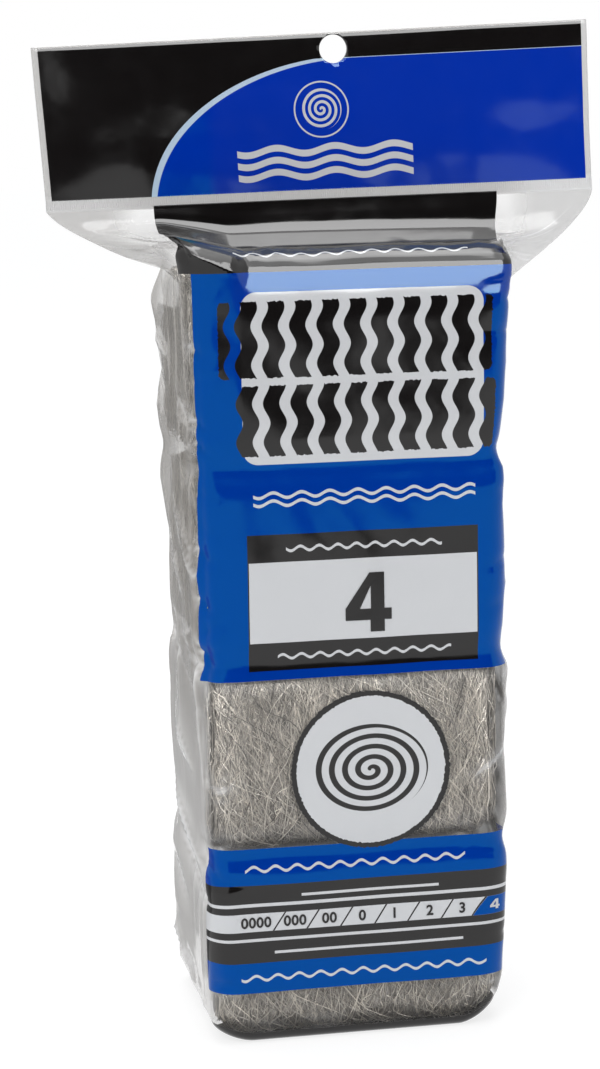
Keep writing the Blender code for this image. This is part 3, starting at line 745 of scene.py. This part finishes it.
# wavy white lines: height, left and right end, half thickness, swing and wave length, in millimetres
wavy_lines = (
    (254.8, -35, 40, 0.45, 0.9, 7.5),
    (178.2, -31, 40, 0.55, 0.8, 9.0),
    (175.7, -31, 40, 0.55, 0.8, 9.0),
    (161.2, -21, 29, 0.5, 0.7, 6.0),
    (126.6, -24, 32, 0.5, 0.7, 6.0),
    (57.8, -36, 36, 0.5, 0.8, 7.0),
    (21.9, -38, 42, 0.5, 0.8, 7.0),
    (305.0, -27, 30, 1.1, 1.0, 19.0),
    (308.8, -27, 30, 1.1, 1.0, 19.0),
    (312.6, -27, 30, 1.1, 1.0, 19.0),
)
slant_from, slant_reach, slant_width = 0.125, 0.075, 0.0021
strand_wave, strand_swing, strand_pitch, strand_half = 0.012, 0.0011, 0.0086, 0.31
divider_feet, divider_slope, divider_half = (-27.6, -16.7, -5.7, 5.5, 16.4, 27.5, 37.8), 4.1 / 6.2, 0.00035
header_left, header_right, header_low, header_high, arc_high = -87.2, 87.2, 299.9, 348.6, 341.1
film_waves, rib_pitch, edge_blend, edge_haze = 150.0, 0.00070, 0.35, 0.36


def film_material():
    """Clear film with the print's inks: opaque where printed, else clearer the squarer it is seen."""
    made, tree, shader = new_material("printed_clear_film")
    box = printed_box_group()
    fill, number, _ = node_maker(tree)
    plus, minus, times, per = (partial(number, way) for way in ("ADD", "SUBTRACT", "MULTIPLY", "DIVIDE"))
    place = tree.nodes.new("ShaderNodeUVMap")
    place.uv_map = "print"
    u, v, _ = plugged(tree, "SeparateXYZ", Vector=place.outputs["UV"]).outputs

    def attribute(name):
        node = tree.nodes.new("ShaderNodeAttribute")
        node.attribute_name = name
        return node.outputs["Fac"]

    def mixed(mask, under, over):
        node = tree.nodes.new("ShaderNodeMix")
        node.data_type = "RGBA"
        fill([node.inputs["Factor"], *node.inputs[6:8]], (mask, under, over))
        return node.outputs[2]

    def edge(depth, sharpness=ink_edge):
        return times(depth, sharpness, clamp=True)

    def length_of(across, up):
        return number("SQRT", plus(times(across, across), times(up, up)))

    def boxed(left, right, low, high, rounding=0.0, ragged=0.0):
        node = tree.nodes.new("ShaderNodeGroup")
        node.node_tree = box
        middle = ((left + right) / 2000, (low + high) / 2000, 0)
        half = ((right - left) / 2000, (high - low) / 2000, 0)
        fill(node.inputs, (place.outputs["UV"], middle, half, rounding / 1000, ragged / 1000))
        return node.outputs["Mask"]

    def spiral(middle_u, middle_v, narrowing, pitch, half, sharpness, radius):
        """A roll seen from its end: fract(distance / pitch + angle / tau) within half of its middle."""
        across, up = times(minus(u, middle_u), narrowing), minus(v, middle_v)
        distance = length_of(across, up)
        turned = plus(per(distance, pitch), per(number("ARCTAN2", up, across), math.tau))
        off = number("ABSOLUTE", minus(number("FRACT", turned), 0.5))
        return times(edge(minus(radius, distance)), edge(minus(half, off), sharpness))

    # The clear film is mixed towards white by its paleness, which carries the milky haze, the seal's whiteness
    # and painted highlights along the folds and over the ears.
    colour, ink = mixed(attribute("pale_and_highlight"), clear_film, pale_and_highlight_white), None

    def printed(mask, over):
        nonlocal colour, ink
        colour = mixed(mask, colour, over)
        ink = mask if ink is None else number("MAXIMUM", ink, mask)

    slanted = number("MAXIMUM", times(minus(v, slant_from), slant_width / slant_reach), 0.0)
    slanted = number("MINIMUM", slanted, slant_width)
    printed(times(boxed(-54, 61, 119.3, 247.6), edge(minus(plus(u, 0.052), slanted))), blue)
    for *field, over in printed_fields:
        printed(boxed(*field), over)
    # two rows of bold upright strands over the white field
    for low, high, left, right in ((215.0, 238.6, -41.0, 45.5), (190.5, 212.5, -36.4, 46.7)):
        bent = times(number("SINE", times(v, math.tau / strand_wave)), strand_swing)
        turned = per(plus(plus(u, 0.2), bent), strand_pitch)
        off = number("ABSOLUTE", minus(number("FRACT", turned), 0.5))
        printed(times(boxed(left, right, low, high, 1.5, 1.2), edge(minus(strand_half, off), 60.0)), black)
    # a roll of wool in the disc, and the grades' slanting dividers and blue end cell
    printed(spiral(0.00525, 0.0883, 0.80, 0.0034, 0.24, 40.0, 0.0150), black)
    strip = boxed(band_left, band_right, strip_low, strip_high)
    slant = minus(u, times(minus(v, 0.0369), divider_slope))
    for foot in divider_feet:
        off = number("ABSOLUTE", minus(slant, foot / 1000))
        printed(times(strip, edge(minus(divider_half, off))), black)
    printed(times(strip, edge(minus(slant, 0.0381))), blue)
    # the header: black, with a blue field under a long arc, a pale crescent along it, and a spiral in a ring
    printed(boxed(header_left, header_right, header_low, header_high), black)
    for middle_u, foot, wide_half, high_half, over in (
        (0.011, 0.2965, 0.0667, 0.0453, pale_blue),
        (0.013, 0.2955, 0.0670, 0.0455, header_blue),
    ):
        left_off = per(number("MAXIMUM", minus(middle_u, u), 0.0), wide_half)
        up_off = per(number("MAXIMUM", minus(v, foot), 0.0), high_half)
        under_arc = edge(minus(1.0, length_of(left_off, up_off)), 600.0)
        printed(times(boxed(header_left, header_right, header_low, arc_high), under_arc), over)
    printed(boxed(-7.8, 10.0, 316.3, 334.1, 8.9), white)
    printed(boxed(-7.3, 9.5, 316.8, 333.6, 8.4), header_blue)
    printed(spiral(0.0011, 0.3252, 1.0, 0.0019, 0.25, 30.0, 0.0066), white)
    for middle, left, right, half, swing, length in wavy_lines:
        bent = times(number("SINE", times(u, math.tau / length * 1000)), swing / 1000)
        off = number("ABSOLUTE", minus(minus(v, middle / 1000), bent))
        printed(times(boxed(left, right, middle - 3, middle + 3), edge(minus(half / 1000, off))), white)

    facing = plugged(tree, "LayerWeight", Blend=edge_blend).outputs["Facing"]
    veil = plus(attribute("haze_with_fold_highlight"), times(times(facing, edge_haze), facing), clamp=True)
    noise = plugged(tree, "TexNoise", Vector=place.outputs["UV"], Scale=film_waves, Detail=1.0).outputs["Fac"]
    ribs = times(number("SINE", times(u, math.tau / rib_pitch)), boxed(-95, 95, 296.9, 300.0))
    height = plus(times(noise, 0.25), times(ribs, 0.6))
    bump = plugged(tree, "Bump", Strength=0.5, Distance=0.0003, Height=height).outputs["Normal"]
    rough = plugged(tree, "MapRange", Value=noise, To_Min=0.07, To_Max=0.16).outputs["Result"]
    # the blue ink takes the red out of what it mirrors squarely, and less of it up on the shoulder
    red, _, bluish = plugged(tree, "SeparateColor", Color=colour).outputs
    cold = times(minus(bluish, red), 3.3, clamp=True)
    up_shoulder = times(edge(minus(v, 0.236), 250.0), edge(plus(u, 0.037), 250.0))
    tint = mixed(cold, (1, 1, 1, 1), mixed(up_shoulder, (0.08, 1, 1, 1), (0.66, 0.94, 1, 1)))
    plugged(tree, shader, Base_Color=colour, Alpha=number("MAXIMUM", ink, veil), Roughness=rough, Normal=bump)
    plugged(tree, shader, Specular_IOR_Level=0.5, Specular_Tint=tint)
    return made


film = film_material()
bag = film_mesh()
bag.data.materials.append(film)


hole_x, hole_z, hole_radius, hole_sides = 0.00593, 0.31486, 0.0045, 48


def punch_hang_hole():
    """Cuts the round hang hole through both plies, close under the header's top edge."""
    angle = np.arange(hole_sides) * math.tau / hole_sides
    across, up = hole_radius * np.cos(angle), hole_radius * np.sin(angle)
    ring = np.stack([hole_x + across, 0 * angle, hole_z + up], axis=1)
    points = np.concatenate([ring + (0, -0.02, 0), ring + (0, 0.02, 0)])
    neighbours = [(i, (i + 1) % hole_sides) for i in range(hole_sides)]
    faces = [(hole_sides + i, hole_sides + j, j, i) for i, j in neighbours]
    faces += [tuple(range(hole_sides)), tuple(range(2 * hole_sides - 1, hole_sides - 1, -1))]
    mesh = bpy.data.meshes.new("hang_hole_punch")
    mesh.from_pydata([tuple(point) for point in points], [], faces)
    punch = put("hang_hole_punch", mesh)
    cut = bag.modifiers.new("hang hole", "BOOLEAN")
    cut.object = punch
    cut.operation = "DIFFERENCE"
    cut.solver = "EXACT"
    bpy.context.view_layer.objects.active = bag
    bpy.ops.object.modifier_apply(modifier=cut.name)
    bpy.data.objects.remove(punch, do_unlink=True)


punch_hang_hole()
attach(bag, "root")
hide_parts("film_bag")

# Printed numbers. They are ink on the film like the rest: the scale's grades and the pack's own grade, each
# laid a hair's breadth proud of the film so that it follows its waves.


def on_film(u, v, lift):
    """Places on the front of the film for lengths round and up the bag, between the grid's own points."""
    row = np.interp(v, film_v[:, 0], np.arange(len(film_v)))
    column = np.interp(np.abs(u) / quarter_length(v), shares, np.arange(fold_number))
    column = np.where(u < 0, -column, column)
    low_row, low_column = np.floor(row).astype(int), np.floor(column).astype(int)
    part_row, part_column = (row - low_row)[:, None], (column - low_column)[:, None]
    count = film_u.shape[1]
    corner = [film_points[low_row + i, (low_column + j) % count] for i in (0, 1) for j in (0, 1)]
    low = corner[0] * (1 - part_column) + corner[1] * part_column
    high = corner[2] * (1 - part_column) + corner[3] * part_column
    return low * (1 - part_row) + high * part_row + np.array([0, -lift, 0])


def bold_four(height):
    """The outline of a bold 4 and of the gap in it, about its middle."""
    outer = [(0.42, 0), (0.66, 0), (0.66, 0.20), (0.78, 0.20), (0.78, 0.39), (0.66, 0.39), (0.66, 1)]
    outer += [(0.41, 1), (0, 0.40), (0, 0.20), (0.42, 0.20)]
    gap = [(0.43, 0.39), (0.24, 0.39), (0.43, 0.78)]
    return [[((x - 0.39) * height, (y - 0.5) * height) for x, y in line] for line in (outer, gap)]


def printed_number(name, text, u, v, height, boldness, ink):
    """A number laid on the film: the type's outline or the bold 4's, cut fine enough for the waves."""
    drawn = text == "4"
    curve = bpy.data.curves.new(name, "CURVE" if drawn else "FONT")
    if drawn:
        curve.dimensions = "2D"
        curve.fill_mode = "BOTH"
        for line in bold_four(height):
            spline = curve.splines.new("POLY")
            spline.points.add(len(line) - 1)
            spline.points.foreach_set("co", np.array([(x, y, 0, 1) for x, y in line], np.float32).ravel())
            spline.use_cyclic_u = True
    else:
        curve.body = text
        curve.size = height / 0.70
        curve.align_x = "CENTER"
        curve.align_y = "CENTER"
        curve.offset = boldness
        curve.space_character = 1.06
    curve.extrude = 0.00003
    made = put(name, curve)
    mesh = bpy.data.meshes.new_from_object(made.evaluated_get(bpy.context.evaluated_depsgraph_get()))
    bpy.data.objects.remove(made, do_unlink=True)
    if drawn:
        cut = bmesh.new()
        cut.from_mesh(mesh)
        bmesh.ops.remove_doubles(cut, verts=cut.verts, dist=0.000001)
        bmesh.ops.triangulate(cut, faces=cut.faces)
        bmesh.ops.subdivide_edges(cut, edges=cut.edges, cuts=5, use_grid_fill=True)
        cut.to_mesh(mesh)
        cut.free()
    flat = np.zeros(len(mesh.vertices) * 3)
    mesh.vertices.foreach_get("co", flat)
    flat = flat.reshape(-1, 3)
    placed = on_film(u + flat[:, 0], v + flat[:, 1], 0.00016)
    placed[:, 1] -= flat[:, 2]
    mesh.vertices.foreach_set("co", placed.ravel())
    mesh.update()
    mesh.materials.clear()
    mesh.materials.append(ink)
    made = put(name, mesh)
    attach(made, "root")
    return made


def ink_material(name, colour):
    """Gloss ink under film: one colour with the press's faint mottle."""
    made, tree, shader = new_material(name)
    place = tree.nodes.new("ShaderNodeTexCoord").outputs["Object"]
    noise = plugged(tree, "TexNoise", Vector=place, Scale=700.0).outputs["Fac"]
    ramp = plugged(tree, "ValToRGB", Fac=noise)
    ramp.color_ramp.elements[0].color = (*(0.85 * part for part in colour), 1)
    ramp.color_ramp.elements[1].color = (*colour, 1)
    plugged(tree, shader, Base_Color=ramp.outputs["Color"], Roughness=0.16)
    return made


black_ink = ink_material("black_ink", (0.005, 0.004, 0.004))
white_ink = ink_material("white_ink", (0.60, 0.605, 0.62))
grades = (("0000", -32.9), ("000", -20.3), ("00", -9.1), ("0", 1.7), ("1", 12.3), ("2", 24.0), ("3", 34.8))
for text, middle in grades:
    printed_number(f"grade_{text}", text, middle / 1000, 0.0402, 0.0033, 0.00012, black_ink)
printed_number("grade_4", "4", 0.0442, 0.0405, 0.0033, 0.00012, white_ink)
printed_number("pack_grade", "4", 0.0051, 0.1428, 0.0190, 0.0006, black_ink)

# Setting: a white floor that runs out in front of the bag, a white world, a dark side behind the camera that
# only reflections show, and soft studio lamps.
floor_mesh = bpy.data.meshes.new("floor")
floor_mesh.from_pydata([(-4, -2.3, 0), (4, -2.3, 0), (4, 6, 0), (-4, 6, 0)], [], [(0, 1, 2, 3)])
floor = put("floor", floor_mesh)


def seen_straight(tree):
    """1 for rays from the camera, mirrored or let through, and 0 for those that carry light on."""
    ways = tree.nodes.new("ShaderNodeLightPath").outputs
    _, number, _ = node_maker(tree)
    mirrored = number("MAXIMUM", ways["Is Camera Ray"], ways["Is Glossy Ray"])
    return number("MAXIMUM", mirrored, ways["Is Transmission Ray"])


paper, tree, matte = new_material("white_paper")
plugged(tree, matte, Base_Color=(0.94, 0.94, 0.94, 1), Roughness=0.9, Specular_IOR_Level=0.0)
glow = plugged(tree, "Emission", Strength=1.08)
either = tree.nodes.new("ShaderNodeMixShader")
fill, number, _ = node_maker(tree)
glow_share = number("MULTIPLY", seen_straight(tree), 0.72)
fill(either.inputs, (glow_share, matte.outputs[0], glow.outputs[0]))
tree.links.new(either.outputs[0], tree.nodes["Material Output"].inputs["Surface"])
floor_mesh.materials.append(paper)


def mirrored_card(name, corners, grey):
    """A matte card that only reflections show, as a studio's black and grey flags."""
    mesh = bpy.data.meshes.new(name)
    mesh.from_pydata(corners, [], [tuple(range(len(corners)))])
    made = put(name, mesh)
    cloth, tree, shader = new_material(name)
    plugged(tree, shader, Base_Color=(grey, grey, grey, 1), Roughness=0.9)
    mesh.materials.append(cloth)
    for way in ("camera", "diffuse", "shadow", "transmission", "volume_scatter"):
        setattr(made, f"visible_{way}", False)


card_z = 0.002
upright = ((-0.45, -2.4, -0.01), (3, -2.4, -0.01), (3, -2.4, 0.95), (-0.45, -2.4, 0.95))
mirrored_card("dark_side", upright, 0.02)
strip = ((0.12, -0.97, card_z), (0.345, -2.3, card_z), (0.54, -2.3, card_z), (0.235, -0.97, card_z))
mirrored_card("dark_strip", strip, 0.02)
behind = ((-0.75, 0.02, card_z), (-0.054, 0.02, card_z), (-0.054, 2.6, card_z), (-0.75, 2.6, card_z))
mirrored_card("grey_side", behind, 0.22)

world = bpy.data.worlds.new("studio")
bpy.context.scene.world = world
world.use_nodes = True
tree = world.node_tree
level = tree.nodes.new("ShaderNodeMix")
level.data_type = "RGBA"
level.inputs[6].default_value = (0.62, 0.63, 0.64, 1)
level.inputs[7].default_value = (1, 1, 1, 1)
tree.links.new(seen_straight(tree), level.inputs["Factor"])
tree.links.new(level.outputs[2], tree.nodes["Background"].inputs["Color"])


def lamp(name, kind, place, target, strength, **settings):
    """A lamp at a place, turned to a target."""
    data = bpy.data.lights.new(name, kind)
    data.energy = strength
    for key, value in settings.items():
        setattr(data, key, value)
    made = put(name, data)
    made.location = place
    made.rotation_euler = (Vector(target) - Vector(place)).to_track_quat("-Z", "Y").to_euler()
    return made


lamp("key", "SUN", (-1.2, -1.6, 2.2), (0, 0, 0.1), 0.9, angle=math.radians(25))
lamp("overhead", "AREA", (0.0, 0.25, 1.5), (0, 0, 0.2), 10.0, size=0.9)
front = lamp(
    "front_softbox", "AREA", (0.35, -1.46, 1.61), (0, 0, 0.25), 96.0, shape="RECTANGLE", size=1.9, size_y=1.75
)
top = lamp(
    "top_softbox", "AREA", (0.1, 0.1, 1.6), (0.1, 0.1, 0), 13.0, shape="RECTANGLE", size=1.6, size_y=1.2
)
for softbox in (front, top):
    softbox.visible_diffuse = False

# Camera, at the photograph's place and angle, found by fitting the bag's outline. Its focal length is in the
# photograph's pixels.
focal_pixels, photo_height = 2723.8, 1069.0
camera_data = bpy.data.cameras.new("camera")
camera_data.sensor_width = 36.0
camera_data.lens = focal_pixels * camera_data.sensor_width / photo_height
camera_data.clip_start = 0.01
camera = put("camera", camera_data)
azimuth, elevation, roll = math.radians(-10.60), math.radians(9.89), math.radians(-1.01)
level_out = math.cos(elevation)
back = Vector((math.sin(azimuth) * level_out, -math.cos(azimuth) * level_out, math.sin(elevation)))
level_right = Vector((0, 0, 1)).cross(back).normalized()
level_up = back.cross(level_right)
right = math.cos(roll) * level_right + math.sin(roll) * level_up
up = -math.sin(roll) * level_right + math.cos(roll) * level_up
turned = Matrix((right, up, back)).transposed().to_4x4()
camera.matrix_world = Matrix.Translation((-0.16912, -0.86215, 0.31167)) @ turned
bpy.context.scene.camera = camera
bpy.context.scene.view_settings.view_transform = "Standard"
